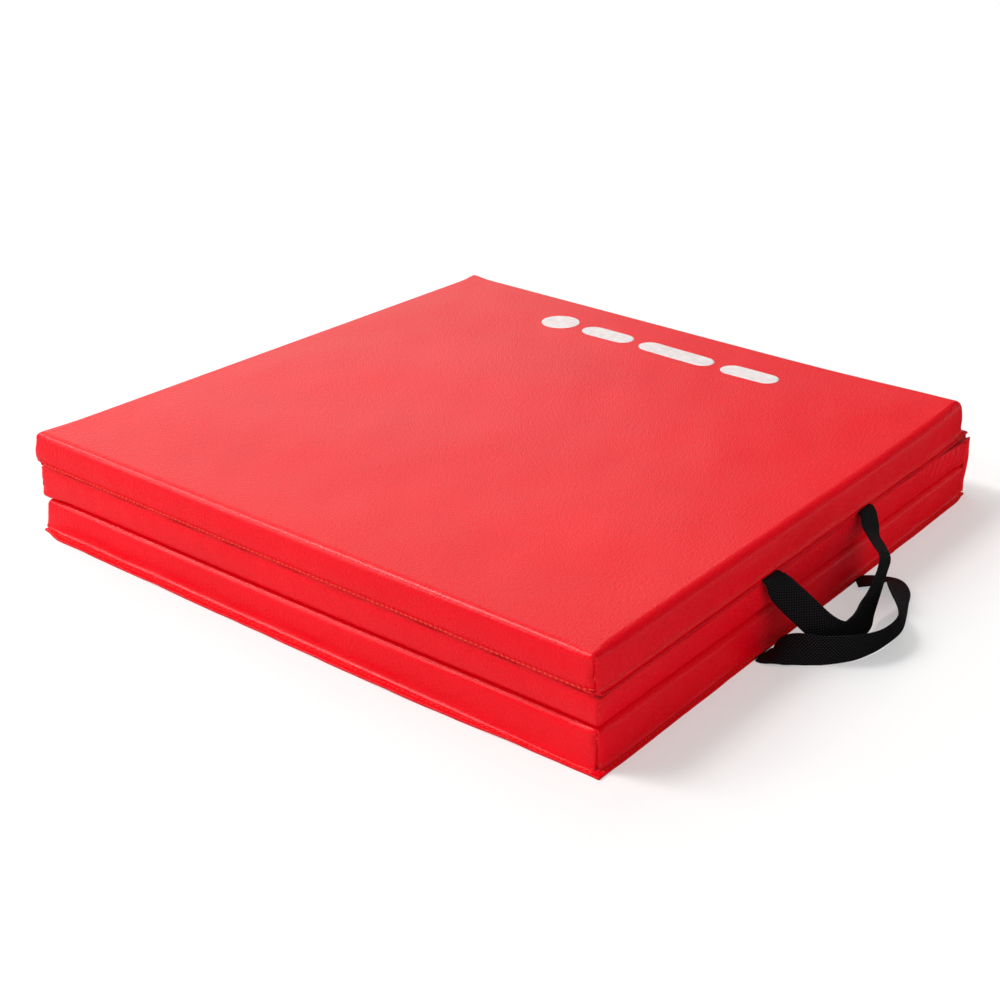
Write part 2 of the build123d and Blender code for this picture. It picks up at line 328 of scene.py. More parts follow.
def squeeze(points):
    """Where the stack's own weight and folds push the boundary between two panels up or down."""
    x, y, z = points[..., 0], points[..., 1], points[..., 2]
    front = np.hypot(x + PANEL_HALF, y + PANEL_HALF)
    left = np.hypot(x + PANEL_HALF, y - PANEL_HALF)
    right = np.hypot(x - PANEL_HALF, y + PANEL_HALF)
    lift = FRONT_LIFT * bell(front, FRONT_REACH) - LEFT_DROP * bell(left, LEFT_REACH)
    boundary = TWO_PANELS_Z / 2
    share = np.clip(np.where(z < boundary, z / boundary, (TWO_PANELS_Z - z) / boundary), 0, 1)
    moved = np.array(points)
    # At the lower fold's handle end the middle panel sags away from the top one.
    in_middle = np.where(z < MIDDLE_TOP_Z, np.clip((z - boundary) / PANEL_T, 0, 1), 0)
    in_top = np.clip((z - TOP_FOOT_Z) / TOP_WALL, 0, 1)
    moved[..., 2] = z + lift * share - MIDDLE_SAG * bell(right, SAG_REACH) * in_middle
    moved[..., 2] += TOP_RISE * bell(right, RISE_REACH) * in_top
    return moved


def lean(name, points):
    """The top panel has slid and skewed a little as it settled."""
    if name != "top":
        return points
    p = np.array(points)
    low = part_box("top_base_sheet")[0].z
    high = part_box("top_foam_core")[1].z
    share = np.clip((p[..., 2] - low) / (high - low), 0, 1)
    p[..., 1] += -TOP_SLIDE * (1 - share)
    across = (p[..., 0] + PANEL_HALF) / (2 * PANEL_HALF)
    p[..., 0] += across * share * (TOP_STRETCH + TOP_SKEW * p[..., 1] / PANEL_HALF)
    return p


def ripple(name, x, y, share):
    """How far the welt's edge is lifted, at a share of its width from the wall."""
    seed = PANELS.index(name) * 10 + 5
    height = {"bottom": 0.0004, "middle": 0.0005, "top": 0.0008}[name]
    curl = height * (waves(x, y, 0.055, seed) * 0.7 + waves(x, y, 0.02, seed + 1) * 0.3 + 0.6)
    return np.clip(curl, 0, None) * share ** 1.5


def face_shape(name, x, y, half):
    """Height of the face above its flat, in the panel's own frame."""
    seed = PANELS.index(name) * 10
    edge = np.minimum(half - np.abs(x), half - np.abs(y))
    fade = smooth(edge / 0.05)
    crown = 0.0010 * (1 - (x / half) ** 2) * (1 - (y / half) ** 2)
    return crown + fade * (0.00045 * waves(x, y, 0.21, seed + 1) + 0.00016 * waves(x, y, 0.07, seed + 2))


def wall_shape(name, side, s, h, half):
    """How far a wall stands out at s along its side and height share h (0 foot, 1 top)."""
    seed = PANELS.index(name) * 10
    along = s + side * 3.7
    corner = half - np.abs(s)
    body = np.sin(math.pi * h) ** 0.8
    out = WALL_PUFF * body
    out = out + 0.00035 * waves(along, h * 0.02, 0.09, seed + 3) * body
    out = out + 0.00016 * waves(along, h * 0.03, 0.028, seed + 4) * body
    # Where the seam stands out in a welt, the foot of the wall flares out to it.
    welt = side_welts(name)[side_of(name, side)]    # back to the panel's own side
    out = out + np.clip(welt - 0.002, 0, 0.004) * 0.62 * np.exp(-h * 7.0)
    if name == "top":
        out = out + (side == 0) * LIP_FLARE * np.exp(-h * 5.0)
    # The corner seams pull the walls in, most of all at the foot.
    out = out - CORNER_PULL * bell(corner, 0.012) * (1 - 0.8 * h)
    # Along the upper fold the stitch row draws the wall into a shallow groove.
    folded = welt < 0
    out = out - folded * (0.0005 * bell(h - 0.07, 0.05) + 0.0003 * bell(h, 0.03))
    # Slanting wrinkles where the lower fold pulls on the middle panel's handle-side wall.
    if name == "middle":
        near = smooth((-s - 0.190) / 0.03) * smooth((0.290 + s) / 0.015)
        slant = np.sin((s / WRINKLE_PITCH - h * 1.2) * math.tau)
        out = out + (side == 0) * near * WRINKLE * slant * body
    return out


# Depth of the seam by corner: the first is pulled tight, the others lie nearly flush.
SEAM_DEPTHS = np.array([1.3, 0.45, 0.6, 0.35])


def seam_groove(name, side, s, h, half):
    """Depth of the pinched line where two walls are sewn together at an upright corner."""
    corner = half - np.abs(s) - 0.293 * WALL_CORNER_R
    which = np.where(s > 0, side + 1, side) % 4
    phase = which * 2.1 + PANELS.index(name) * 1.3
    sway = 0.0009 * np.sin(h * 4.2 + phase) + 0.0004 * np.sin(h * 11.0 + 2 * phase)
    offset = np.abs(corner + np.where(s > 0, 1, -1) * sway)
    depth = SEAM_DEPTHS[which]
    return depth * (0.0026 * bell(offset, 0.0007) + 0.0009 * bell(offset, 0.0024))


OUT_DIRECTIONS = np.array([(0, -1), (1, 0), (0, 1), (-1, 0)], float)
TANGENTS = np.array([(1, 0), (0, 1), (-1, 0), (0, -1)], float)


def corner_push(name, x, y, half, height):
    """How far the upright corners stand out along Y, by the amounts in CORNER_PUSH."""
    total = 0
    for (cx, cy), (foot, face) in zip(CORNERS, CORNER_PUSH[name]):
        cx = cx if FACE_UP[name] else -cx
        amount = foot + (face - foot) * height
        total = total + amount * bell(np.hypot(x - cx * half, y - cy * half), 0.022)
    return total


def tuck_corners(name, points, half, share):
    """Draws the welt's tips in by the amounts in TUCK, and widens the bottom panel's -X welt."""
    for (cx, cy), (along_x, along_y) in zip(CORNERS, TUCK[name]):
        if not FACE_UP[name]:
            cx = -cx
        distance = np.linalg.norm(points[:, :2] - np.array([cx, cy]) * half, axis=1)
        pull = bell(distance, 0.011) * share
        points[:, 0] -= cx * along_x * pull
        points[:, 1] -= cy * along_y * pull
    if name == "bottom":
        x, y = points[:, 0], points[:, 1]
        edge = smooth((-half - x + 0.0005) / 0.0015)
        points[:, 0] -= WELT_FLARE * share * edge * smooth((y + half) / 0.20) * smooth((half - y) / 0.03)


def lip_drop(x, y, half):
    """The welt hangs down on the handle side, except where a handle's webbing comes out under it."""
    near = smooth((-y - half + 0.002) / 0.0015) * smooth((half - np.abs(x) + 0.002) / 0.010)
    for root in HANDLE_ROOTS_X:
        near = near * smooth((np.abs(x - root) - WEBBING_W / 2 - 0.001) / 0.010)
    return LIP_DROP * near


def close_fold(name, points, side, half, height):
    """On the upper fold's side the wall runs right down to the fold, with no welt."""
    s = points[:, 0] * TANGENTS[side, 0] + points[:, 1] * TANGENTS[side, 1]
    share = (side_welts(name)[side] < 0) * smooth((half - np.abs(s) - 0.002) / 0.010)
    if height is None:
        points[:, 2] *= 1 - 0.80 * share * (points[:, 2] < 0.004)
    else:
        points[:, 2] -= 0.00176 * share * (1 - height)


def sharpen(points, half, amount):
    """The rounded edge tightens to a crisp point at each corner of the face."""
    corner = np.hypot(half - np.abs(points[:, 0]), half - np.abs(points[:, 1]))
    gain = 0.62 * 0.293 * EDGE_R * amount * bell(np.maximum(corner - 0.004, 0), 0.009)
    gain = gain * np.where(points[:, 0] * points[:, 1] > 0, 1.0, 0.15)
    direction = points[:, :2] / np.abs(points[:, :2]).max(1)[:, None]
    points[:, :2] += np.trunc(direction * 1.02) * gain[:, None]
    points[:, 2] += gain


def cover_rings(name, along, inset=0.0):
    """All rings of one panel's cover from the face's edge to under the welt, in its own frame."""
    _, half, base, face = panel_frame(name)
    thick = abs(face - base)
    half = half - inset
    top = thick - inset
    count = len(along) + 2 * CORNER_STEPS - 1
    side = np.repeat(np.arange(4), count)
    rings = []
    marks = {}

    def add(low, high, corner_r, z, height=None, welt_share=0.0, label=None, depth=1.0, closes=True):
        """One more ring; `height` is given on the walls, `welt_share` on the welt."""
        points = ring(low, high, corner_r, z, along)
        x, y = points[:, 0].copy(), points[:, 1].copy()
        if height is not None:
            s = x * TANGENTS[side, 0] + y * TANGENTS[side, 1]
            wall = side_of(name, side)
            out = wall_shape(name, wall, s, height, half)
            out = out - seam_groove(name, wall, s, height, half) * depth
            direction = OUT_DIRECTIONS[side]
            # At an upright corner both walls move, so the direction turns with the corner.
            diag = np.clip((half - np.abs(s)) / WALL_CORNER_R, 0, 1)
            radial = np.column_stack([x, y])
            radial = radial / np.abs(radial).max(1)[:, None]
            radial = radial / np.linalg.norm(radial, axis=1)[:, None]
            direction = direction * diag[:, None] + radial * (1 - diag[:, None])
            points[:, :2] += direction * out[:, None]
            points[:, 1] += np.sign(y) * corner_push(name, x, y, half, height)
        if welt_share > 0:
            points[:, 2] += ripple(name, x, y, welt_share)
            tuck_corners(name, points, half, welt_share)
            if name == "top":
                points[:, 2] -= lip_drop(x, y, half) * welt_share
        if closes and inset == 0:
            close_fold(name, points, side, half, height)
        if label:
            marks[label] = len(rings)
        rings.append(points)

    flat = half - EDGE_R
    add((-flat, -flat), (flat, flat), FACE_CORNER_R, top)
    for step in (15, 30, 45, 60, 75, 90):
        a = math.radians(step)
        h = flat + EDGE_R * math.sin(a)
        r = FACE_CORNER_R + (WALL_CORNER_R - FACE_CORNER_R) * math.sin(a)
        z = top - EDGE_R + EDGE_R * math.cos(a)
        # The corner seam starts part of the way round the edge.
        add((-h, -h), (h, h), r, z, 1.0, depth=math.sin(a) ** 3)
        sharpen(rings[-1], half, math.sin(2 * a))
    foot = SEAM_TOP + 0.0006
    wall_steps = 11
    for k in range(1, wall_steps + 1):
        share = 1 - k / wall_steps
        z = foot + (top - EDGE_R - foot) * share
        label = "fold" if k == wall_steps - 1 else None
        add((-half, -half), (half, half), WALL_CORNER_R, z, share, label=label)
    if inset > 0:
        return rings, marks, count
    # The welt: out from the foot, down into the seam row, over the cut edge and back under.
    under = VINYL + 0.00008
    for width, r, z, share, label, closes in (
        (0.45, 0.0018, SEAM_TOP, 0.42, None, True),
        (0.60, 0.0014, SEAM_TOP - 0.0003, 0.60, "row", True),
        (0.78, 0.0012, SEAM_TOP, 0.78, None, True),
        (0.97, 0.0010, SEAM_TOP - 0.0001, 0.97, None, True),
        (1.00, 0.0010, SEAM_TOP - 0.0004, 1.00, None, True),
        (0.97, 0.0010, under, 0.97, None, False),
        (0.42, 0.0016, under, 0.42, None, False),
    ):
        add(*extents(name, half, 0.0, width), r, z, welt_share=share, label=label, closes=closes)
    add(*extents(name, half, -0.004, 0.0), 0.0030, under, closes=False)
    return rings, marks, count


def side_of(name, side):
    """Which side of the folded stack a panel's side is on, and the other way round."""
    if FACE_UP[name]:
        return side
    return np.where(side == 1, 3, np.where(side == 3, 1, side))


def settle(name, points):
    """A panel's own points, taken to the stack and settled there."""
    return lean(name, squeeze(to_row(name, points)))


def build_cover(name, material):
    """The vinyl over a panel's face and walls; also its seam lines, rings and points to a side."""
    half = panel_frame(name)[1]
    rings, marks, count = cover_rings(name, side_stations(half))
    verts, faces = skin(rings, count)
    inside = np.arange(len(verts)) < (count + 1) ** 2      # the grid of the face comes first
    shape = face_shape(name, verts[:, 0], verts[:, 1], half)
    verts[inside, 2] += shape[inside]
    verts = settle(name, verts)
    obj = new_object(f"{name}_cover", verts, faces, material)
    lines = {label: settle(name, rings[k]) for label, k in marks.items()}
    return obj, lines, rings, count


def build_base(name, material):
    """The flat sheet under the foam, with its half of the welt."""
    half = panel_frame(name)[1]
    along = side_stations(half, fine=0.004, coarse=0.009)
    count = len(along) + 2 * CORNER_STEPS - 1
    gap = 0.00004       # between the two sheets
    levels = [          # grow, share of the welt, corner radius, height: from the top face to below
        (-0.004, 0.0, 0.0030, VINYL - gap), (0.0, 0.42, 0.0016, VINYL - gap),
        (0.0, 0.99, 0.0010, VINYL - gap), (0.0, 1.04, 0.0010, VINYL / 2),
        (0.0, 0.99, 0.0010, 0.00003), (0.0, 0.42, 0.0016, 0.0),
    ]
    rings = []
    for grow, share, corner_r, z in levels:
        points = ring(*extents(name, half, grow, share), corner_r, z, along)
        points[:, 2] += ripple(name, points[:, 0], points[:, 1], share)
        tuck_corners(name, points, half, share)
        if name == "top":
            points[:, 2] -= lip_drop(points[:, 0], points[:, 1], half) * share
        rings.append(points)
    # The side that shows is the underside, so the skin starts there and is turned over.
    rings = [np.array(r) for r in rings[::-1]]
    verts, faces = skin(rings, count)
    faces = [f[::-1] for f in faces]
    verts[:, 2] = np.maximum(verts[:, 2], 0.0)
    verts = settle(name, verts)
    return new_object(f"{name}_base", verts, faces, material)


def build_foam(name, material):
    """The hidden slab, in the shape of its cover."""
    along = side_stations(panel_frame(name)[1], fine=0.02, coarse=0.03, fine_length=0.05)
    rings, _, count = cover_rings(name, along, inset=FOAM_BACK)
    verts, faces = skin(rings, count)
    return new_object(f"{name}_foam", settle(name, verts), faces, material)


# ---- stitches ----
def stitch_mesh(name, rows, material, seed, radius=STITCH_R):
    """Separate stitches along rows of (points, tangents, outward normals), slightly uneven."""
    rng = np.random.RandomState(seed)
    # Along the stitch: place, width and lift; its two ends dip into the vinyl.
    half_profile = [(-0.5, 0.25, -0.9), (-0.36, 0.85, 0.0)]
    profile = half_profile + [(0.0, 1.0, 0.35), (0.36, 0.85, 0.0), (0.5, 0.25, -0.9)]
    sides = 6
    verts = []
    faces = []
    for points, tangents, normals in rows:
        for p, t, n in zip(points, tangents, normals):
            n = n - t * float(np.dot(n, t))
            n = n / np.linalg.norm(n)
            b = np.cross(t, n)
            turn = rng.uniform(-0.07, 0.07)
            t = t * math.cos(turn) + b * math.sin(turn)
            b = np.cross(t, n)
            size = rng.uniform(0.94, 1.06)
            start = len(verts)
            for along, width, lift in profile:
                centre = p + t * along * STITCH_LEN * size + n * lift * radius
                for k in range(sides):
                    a = math.tau * k / sides
                    verts.append(centre + (b * math.cos(a) + n * math.sin(a)) * radius * width)
            faces += tube_faces(start, len(profile), sides)
    return new_object(name, verts, faces, material)


def side_line(line, count, side):
    """The stretch of a ring that belongs to one side, in order."""
    loop = np.vstack([line, line[:1]])
    return loop[side * count:(side + 1) * count + 1]


# ---- folds and print ----
UPPER_FOLD_Z = 0.06075
LOWER_FOLD_Z = 0.03025
LOWER_WALL_X = 0.3022       # foot and top of the loose wall
LOWER_WALL_SLACK = 0.0026   # how far it bulges out between them
FLANGE_X = 0.3012
FLANGE_W = 0.0042
STRIP_X = -0.29985          # bottom of the upper fold's groove
STRIP_HALF_H = 0.0021


def tube_sheet(name, grid, thickness, material):
    """A closed thin sheet from a grid of points: the grid, a copy set back, and the edges between."""
    rows, columns = grid.shape[:2]
    du = np.gradient(grid, axis=0)
    dv = np.gradient(grid, axis=1)
    normal = np.cross(du, dv)
    normal /= np.linalg.norm(normal, axis=2)[..., None]
    back = grid - normal * thickness
    verts = np.vstack([grid.reshape(-1, 3), back.reshape(-1, 3)])
    size = rows * columns
    index = np.arange(size).reshape(rows, columns)
    front = quads(index)
    faces = list(np.stack([front, size + front[:, ::-1]], 1).reshape(-1, 4))
    rim = [*index[0], *index[1:, -1], *index[-1, -2::-1], *index[-2:0:-1, 0]]
    for k in range(len(rim)):
        a, b = rim[k], rim[(k + 1) % len(rim)]
        faces.append((a, b, size + b, size + a))
    return new_object(name, verts, faces, material)


def build_lower_fold_wall(material):
    """The loose vinyl wall on the +X side that joins the bottom panel to the middle one."""
    ends = np.arange(-0.299, -0.24, 0.003), np.arange(0.23, 0.294, 0.003)
    y = np.concatenate([ends[0], np.arange(-0.24, 0.23, 0.006), ends[1]])
    z = np.linspace(0.0020, 0.0590, 30)
    yy, zz = np.meshgrid(y, z, indexing="ij")
    rise = np.sin(math.pi * (zz - z[0]) / (z[-1] - z[0]))
    crease = bell(zz - LOWER_FOLD_Z, 0.0022)
    slack = LOWER_WALL_SLACK + 0.0006 * waves(yy, zz, 0.08, 61) + 0.0003 * waves(yy, zz, 0.03, 62)
    x = LOWER_WALL_X + slack * rise + 0.0006 * crease
    return tube_sheet("lower_fold_wall", np.stack([x, yy, zz], 2), 0.0007, material)


def build_end_flanges(material):
    """Where the fold wall is sewn to the end walls: an upright fin at each end of it."""
    objects = []
    for sign, end, top in ((-1, -0.3, 0.0560), (1, 0.294, 0.0588)):
        z = np.linspace(0.0004, top, 26)
        out = np.linspace(0.0, 1.0, 6)
        zz, oo = np.meshgrid(z, out, indexing="ij")
        wave = 0.0004 * waves(zz * 3, oo, 0.05, 70 + sign)
        x = FLANGE_X + FLANGE_W * oo + wave
        y = end + sign * (0.0006 + 0.0022 * oo) + 0.0006 * np.sin(zz * 140) * oo
        grid = np.stack([x, y, zz], 2)
        if sign < 0:
            grid = grid[:, ::-1]
        objects.append(tube_sheet(f"lower_fold_flange_{sign}", grid, 0.0011, material))
    return join("lower_fold_end_flanges_soft", objects)


def join(name, objects):
    """Several meshes as one piece."""
    bpy.ops.object.select_all(action="DESELECT")
    for obj in objects:
        obj.select_set(True)
    bpy.context.view_layer.objects.active = objects[0]
    bpy.ops.object.join()
    objects[0].name = name
    return objects[0]


def build_upper_fold_strip(material):
    """The vinyl across the upper fold, at the bottom of the groove between two panels."""
    y = np.linspace(0.2965, -0.2985, 110)
    z = UPPER_FOLD_Z + np.linspace(-STRIP_HALF_H, STRIP_HALF_H, 9)
    yy, zz = np.meshgrid(y, z, indexing="ij")
    x = STRIP_X + 0.0004 * bell(zz - UPPER_FOLD_Z, 0.0009) + 0.00008 * waves(yy, zz, 0.04, 81)
    return tube_sheet("upper_fold_strip", np.stack([x, yy, zz], 2), 0.0006, material)


MARK_FROM_EDGE = 0.068
MARK_DOT_R = 0.020
MARK_BARS = (0.060, 0.086, 0.062)
MARK_BAR_W = 0.026
MARK_SPACE = 0.011
MARK_START_Y = 0.147
INK = 0.00012


def build_mark(material):
    """A plain dot and three plain rounded bars, lying on the vinyl wherever it rises or falls."""
    centre, half, base, face = panel_frame("top")
    thick = face - base
    shapes = [(MARK_START_Y - MARK_DOT_R, MARK_DOT_R, MARK_DOT_R)]
    y = MARK_START_Y - 2 * MARK_DOT_R - MARK_SPACE
    for length in MARK_BARS:
        shapes.append((y - length / 2, MARK_BAR_W / 2, length / 2))
        y -= length + MARK_SPACE
    objects = []
    for k, (middle, radius, reach) in enumerate(shapes):
        across = -radius * np.cos(np.linspace(0.02, math.pi - 0.02, 26))
        share = np.linspace(-1, 1, 40)
        aa, ss = np.meshgrid(across, share, indexing="ij")
        end = reach - radius + np.sqrt(np.maximum(radius ** 2 - aa ** 2, 0))
        xx = half - MARK_FROM_EDGE + aa
        yy = middle + ss * end - centre[1]
        zz = thick + face_shape("top", xx, yy, half) + INK
        grid = settle("top", np.stack([xx, yy, zz], 2))
        objects.append(tube_sheet(f"mark_{k}", grid, 3 * INK, material))
    return join("print_mark", objects)


# ---- straps ----
# The same stations as the CAD: middle of the webbing, and the direction of its width, in mm.
UPPER_ROUTE = [
    ((-72, -302.4, 62.15), (25, 0, 0)), ((-72, -305.4, 61.9), (25, 0, 0)),
    ((-72, -308.8, 59.4), (24.5, -2, 3)), ((-70, -315, 52), (21, -8, 10)),
    ((-63, -329, 38), (17, -11, 14)), ((-55, -344, 23.5), (16, -11, 12)),
    ((-45, -353.5, 15.5), (13, -6, 19)), ((-31, -356.5, 14), (2, 2, 25)),
    ((-15, -356, 13.5), (-6, 6, 23)), ((1, -353.5, 14), (-10, 8, 21)),
    ((14, -350.5, 17.5), (-12, 4, 22)), ((27, -348, 24), (-12, 2, 22)),
    ((39, -345.5, 31), (-12, 1, 22)), ((50.5, -341.5, 37), (-13, 3, 21)),
    ((60, -335, 42), (-16, 10, 16)), ((68, -326, 45.5), (-18, 10, 14)),
    ((75, -317, 49), (-20, 7, 13)), ((81.5, -312, 54.5), (-22.5, 5, 8)),
    ((84.3, -308.6, 59.4), (-24.5, 1.5, 3)), ((85, -305.4, 61.9), (-25, 0, 0)),
    ((85, -302.4, 62.15), (-25, 0, 0)),
]
LOWER_ROUTE = [
    ((-86, -311.2, 1.15), (25, 0, 0)), ((-86, -317, 3), (23, 2, 4)),
    ((-83, -325, 8), (18, 7, 13)), ((-78, -335, 11.3), (9, 12, 18)),
    ((-70.5, -351.5, 12.6), (-4, 9, 23)), ((-52, -369, 13), (-7, 2, 23.5)),
    ((-33, -378, 13), (-7, -4, 24)), ((-14, -381, 13), (-6, -5, 24)),
    ((3, -380, 12.9), (-8, -3, 24)), ((19, -375, 12.7), (-10, 3, 23)),
    ((36, -366, 12), (-11, 9, 20)), ((57, -355, 9.5), (-13, 13, 16)),
    ((75, -346, 7), (-17, 13, 11)), ((84, -336, 5.2), (-24, 3, 7)),
    ((81, -326, 3.8), (-23, -5, 4)), ((75, -318, 2.6), (-24, -4, 1)),
    ((70, -311.2, 1.15), (-25, 0, 0)),
]


def curve_through(values, steps):
    """Catmull-Rom curve through the values, `steps` samples to a span."""
    v = np.array(values, float)
    padded = np.vstack([2 * v[0] - v[1], v, 2 * v[-1] - v[-2]])
    out = []
    for i in range(1, len(padded) - 2):
        a, b, c, d = padded[i - 1:i + 3]
        for k in range(steps):
            t = k / steps
            out.append(0.5 * (2 * b + (c - a) * t + (2 * a - 5 * b + 4 * c - d) * t ** 2
                              + (3 * b - a - 3 * c + d) * t ** 3))
    out.append(padded[-2])
    return np.array(out)


def build_strap(name, route, material, seed):
    """Webbing as a ribbon with rounded selvedges, a slight cross curl and its real thickness."""
    steps = 12
    centre = curve_through([c for c, _ in route], steps) / 1000
    width = curve_through([w for _, w in route], steps)
    along = np.gradient(centre, axis=0)
    along /= np.linalg.norm(along, axis=1)[:, None]
    width = width - along * np.sum(width * along, axis=1)[:, None]
    width /= np.linalg.norm(width, axis=1)[:, None]
    thick = np.cross(along, width)
    dist = np.concatenate([[0], np.cumsum(np.linalg.norm(np.diff(centre, axis=0), axis=1))])
    across = np.linspace(-1, 1, 21)
    rounding = [max(0.0, (abs(v) - 0.94) / 0.06) for v in across]
    lift = [0.5 * max(math.sqrt(max(0.0, 1 - e ** 2)), 0.25) for e in rounding]
    # Place across, height, place across in the weave; the far side's weave is set apart.
    section = [(v, t, v) for v, t in zip(across, lift)]
    section += [(v, -t, tex + 2.2) for v, t, tex in section[::-1]]
    verts = []
    uv = []
    size = len(section)
    for i in range(len(centre)):
        curl = 0.0004 * math.sin(dist[i] * 45 + seed)
        for v, t, tex in section:
            bend = curl * (v * v - 0.4)
            verts.append(centre[i] + width[i] * v * WEBBING_W / 2 + thick[i] * (t * WEBBING_T + bend))
            uv.append((dist[i], tex * WEBBING_W / 2))
    verts = np.array(verts)
    verts[:, 2] = np.maximum(verts[:, 2], 0.0002)     # where it lies on the floor
    return new_object(name, verts, tube_faces(0, len(centre), size), material, uv=uv)


# ---- materials ----
def new_material(name, colour, roughness, specular):
    """A plain material, its node tree and its shader."""
    material = bpy.data.materials.new(name)
    material.use_nodes = True
    shader = material.node_tree.nodes["Principled BSDF"]
    shader.inputs["Base Color"].default_value = (*colour, 1)
    shader.inputs["Roughness"].default_value = roughness
    shader.inputs["Specular IOR Level"].default_value = specular
    return material, material.node_tree, shader


def node(tree, kind, **values):
    """A shader node, its properties and inputs set by name."""
    made = tree.nodes.new("ShaderNode" + kind)
    for key, value in values.items():
        if hasattr(made, key):
            setattr(made, key, value)
        else:
            made.inputs[key].default_value = value
    return made


def link(tree, a, a_out, b, b_in):
    """Joins one node's output to another's input."""
    tree.links.new(a.outputs[a_out], b.inputs[b_in])


def placed(tree, kind, **values):
    """A node that works in the piece's own space."""
    made = node(tree, kind, **values)
    link(tree, node(tree, "TexCoord"), "Object", made, "Vector")
    return made


def bumped(tree, shader, height, output, strength, distance):
    """Fine relief on a shader."""
    bump = node(tree, "Bump", Strength=strength, Distance=distance)
    link(tree, height, output, bump, "Height")
    link(tree, bump, "Normal", shader, "Normal")


def from_range(tree, source, output, low, high):
    """0 where the source is at `low` or under it, 1 from `high` on."""
    made = node(tree, "MapRange")
    made.inputs["From Min"].default_value = low
    made.inputs["From Max"].default_value = high
    link(tree, source, output, made, "Value")
    return made


def colour_between(tree, factor, factor_out, low, high, dark, light):
    """Maps a factor to a colour between two others."""
    ramp = node(tree, "ValToRGB")
    for element, position, colour in zip(ramp.color_ramp.elements, (low, high), (dark, light)):
        element.position = position
        element.color = (*colour, 1)
    link(tree, factor, factor_out, ramp, "Fac")
    return ramp


def vinyl(name, dark, light, roughness, specular):
    """Coated fabric: fine pebbled grain, faint broad shade changes, a soft sheen."""
    material, tree, shader = new_material(name, light, roughness, specular)
    shader.inputs["Coat Weight"].default_value = 0.18
    shader.inputs["Coat Roughness"].default_value = 0.19
    broad = placed(tree, "TexNoise", Scale=9.0, Detail=3.0)
    grain = placed(tree, "TexVoronoi", feature="SMOOTH_F1", Scale=520.0, Smoothness=0.6)
    fine = placed(tree, "TexNoise", Scale=900.0, Detail=2.0)
    ramp = colour_between(tree, broad, "Fac", 0.3, 0.72, dark, light)
    link(tree, ramp, "Color", shader, "Base Color")
    creases = node(tree, "TexNoise", Scale=330.0, Detail=2.0)
    stretch = placed(tree, "Mapping", Scale=(0.45, 1.0, 1.0))
    link(tree, stretch, "Vector", creases, "Vector")
    add_fine = node(tree, "Math", operation="ADD")
    link(tree, grain, "Distance", add_fine, 0)
    link(tree, fine, "Fac", add_fine, 1)
    add = node(tree, "Math", operation="MULTIPLY_ADD")
    add.inputs[1].default_value = 0.55
    link(tree, creases, "Fac", add, 0)
    link(tree, add_fine, "Value", add, 2)
    bumped(tree, shader, add, "Value", 0.60, 0.0006)
    rough = node(tree, "MapRange")
    rough.inputs["To Min"].default_value = roughness - 0.05
    rough.inputs["To Max"].default_value = roughness + 0.07
    link(tree, fine, "Fac", rough, "Value")
    link(tree, rough, "Result", shader, "Roughness")
    return material


def thread(name, colour):
    """Sewing thread: matt, with fine fibres."""
    material, tree, shader = new_material(name, colour, 0.6, 0.12)
    twist = placed(tree, "TexNoise", Scale=1500.0, Detail=2.0)
    dark = tuple(c * 0.7 for c in colour)
    ramp = colour_between(tree, twist, "Fac", 0.35, 0.65, dark, colour)
    link(tree, ramp, "Color", shader, "Base Color")
    bumped(tree, shader, twist, "Fac", 0.4, 0.0002)
    return material


def webbing():
    """Woven polypropylene: rows of short raised floats, each row set half a step on."""
    material, tree, shader = new_material("webbing_black", (0.006, 0.005, 0.006), 0.60, 0.10)
    split = node(tree, "SeparateXYZ")
    link(tree, node(tree, "TexCoord"), "UV", split, "Vector")

    def math_node(operation, *terms):
        made = node(tree, "Math", operation=operation)
        for socket, term in zip(made.inputs, terms):
            if isinstance(term, (int, float)):
                socket.default_value = term
            else:
                tree.links.new(term, socket)
        return made.outputs["Value"]

    row_pitch = 0.00145     # across the webbing
    float_pitch = 0.0028    # along the webbing
    across = math_node("DIVIDE", split.outputs["Y"], row_pitch)
    row = math_node("FLOOR", across)
    offset = math_node("MULTIPLY", math_node("FLOORED_MODULO", row, 2.0), 0.5)
    along = math_node("ADD", math_node("DIVIDE", split.outputs["X"], float_pitch), offset)
    lengthwise = math_node("SINE", math_node("MULTIPLY", math_node("FRACT", along), math.pi))
    sideways = math_node("SINE", math_node("MULTIPLY", math_node("FRACT", across), math.pi))
    height = math_node("MULTIPLY", lengthwise, math_node("POWER", sideways, 0.7))
    fibres = placed(tree, "TexNoise", Scale=2500.0, Detail=1.0)
    total = math_node("ADD", height, math_node("MULTIPLY", fibres.outputs["Fac"], 0.25))
    bumped(tree, shader, total.node, "Value", 0.9, 0.0005)
    # Painted light in the weave's colour: painted shade, nearly black, in the gaps between floats, and a
    # painted sheen that makes the floats' tops lighter than the black yarn.
    gap, yarn_and_sheen = (0.0004, 0.0004, 0.0006), (0.034, 0.030, 0.035)
    ramp = colour_between(tree, height.node, "Value", 0.50, 1.0, gap, yarn_and_sheen)
    link(tree, ramp, "Color", shader, "Base Color")
    return material


def plain_foam():
    """Closed-cell foam."""
    material, tree, shader = new_material("foam", (0.70, 0.70, 0.68), 0.9, 0.2)
    cells = placed(tree, "TexVoronoi", Scale=1200.0)
    bumped(tree, shader, cells, "Distance", 0.3, 0.0003)
    return material


